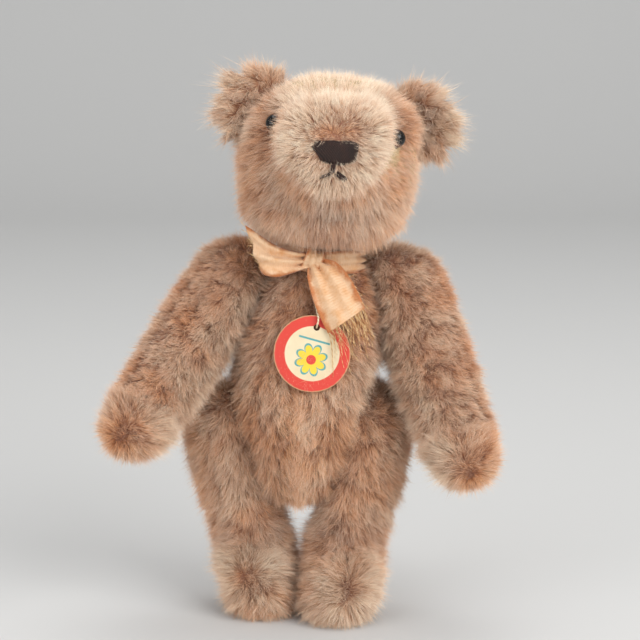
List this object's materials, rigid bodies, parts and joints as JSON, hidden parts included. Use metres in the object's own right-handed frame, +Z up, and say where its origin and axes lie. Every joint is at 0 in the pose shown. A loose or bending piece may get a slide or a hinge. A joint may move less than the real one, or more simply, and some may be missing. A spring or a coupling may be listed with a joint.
{
  "type": "jointed teddy bear",
  "caption": "Standing jointed teddy bear in worn, tufted mohair with a ribbon tied at the neck and a round card tag; head, arms and legs turn on disc joints.",
  "frame": {"origin": "middle of the bear's footprint box at the soles", "axes": "+Z up; the bear faces -Y; the bear's own left hand is at +X"},
  "size_m": [0.1218, 0.0678, 0.1731],
  "materials": {
    "worn_mohair": "short, matted mohair pile, rubbed thin in places",
    "packed_filling": "packed wood wool and wadding, unseen",
    "hardboard": "pressed board",
    "steel": "plain steel",
    "eye_black": "polished, near black",
    "dark_brown_thread": "satin stitches in thick thread",
    "faded_ribbon": "faded satin with worn edges",
    "printed_card": "thin card with a plain flower and a red rim",
    "light_thread": "twisted cotton"
  },
  "bodies": {
    "torso": {"body_cover": "worn_mohair", "body_filling": "packed_filling", "neck_ribbon": "faded_ribbon", "swing_tag": "printed_card", "tag_thread": "light_thread", "head_disc_trunk": "hardboard", "head_washer_trunk": "steel", "arm_left_disc_trunk": "hardboard", "arm_left_washer_trunk": "steel", "arm_right_disc_trunk": "hardboard", "arm_right_washer_trunk": "steel", "leg_left_disc_trunk": "hardboard", "leg_left_washer_trunk": "steel", "leg_right_disc_trunk": "hardboard", "leg_right_washer_trunk": "steel"},
    "head": {"head_cover": "worn_mohair", "head_filling": "packed_filling", "ear_left": "worn_mohair", "ear_right": "worn_mohair", "eye_left": "eye_black", "eye_right": "eye_black", "nose_stitching": "dark_brown_thread", "mouth_stitching": "dark_brown_thread", "head_disc_limb": "hardboard", "head_washer_limb": "steel", "head_cotter_pin": "steel"},
    "arm_left": {"arm_left_cover": "worn_mohair", "arm_left_filling": "packed_filling", "arm_left_disc_limb": "hardboard", "arm_left_washer_limb": "steel", "arm_left_cotter_pin": "steel"},
    "arm_right": {"arm_right_cover": "worn_mohair", "arm_right_filling": "packed_filling", "arm_right_disc_limb": "hardboard", "arm_right_washer_limb": "steel", "arm_right_cotter_pin": "steel"},
    "leg_left": {"leg_left_cover": "worn_mohair", "leg_left_filling": "packed_filling", "leg_left_disc_limb": "hardboard", "leg_left_washer_limb": "steel", "leg_left_cotter_pin": "steel"},
    "leg_right": {"leg_right_cover": "worn_mohair", "leg_right_filling": "packed_filling", "leg_right_disc_limb": "hardboard", "leg_right_washer_limb": "steel", "leg_right_cotter_pin": "steel"}
  },
  "joints": [
    {"name": "head_turn", "type": "hinge", "parent": "torso", "child": "head", "pos_m": [0.00776, 0.00785, 0.1183], "axis": [0.1007, 0, 0.9949], "continuous": true},
    {"name": "arm_left_turn", "type": "hinge", "parent": "torso", "child": "arm_left", "pos_m": [0.0226, 0.00835, 0.103], "axis": [0.9668, 0, 0.2554], "range_deg": [-75, 115]},
    {"name": "arm_right_turn", "type": "hinge", "parent": "torso", "child": "arm_right", "pos_m": [-0.0112, 0.00835, 0.103], "axis": [-0.8695, 0, 0.4939], "range_deg": [-115, 50]},
    {"name": "leg_left_turn", "type": "hinge", "parent": "torso", "child": "leg_left", "pos_m": [0.01382, 0.00785, 0.058], "axis": [0.9636, 0, -0.2672], "range_deg": [-90, 105]},
    {"name": "leg_right_turn", "type": "hinge", "parent": "torso", "child": "leg_right", "pos_m": [-0.01458, 0.00785, 0.058], "axis": [-0.9636, 0, -0.2672], "range_deg": [-105, 90]}
  ]
}
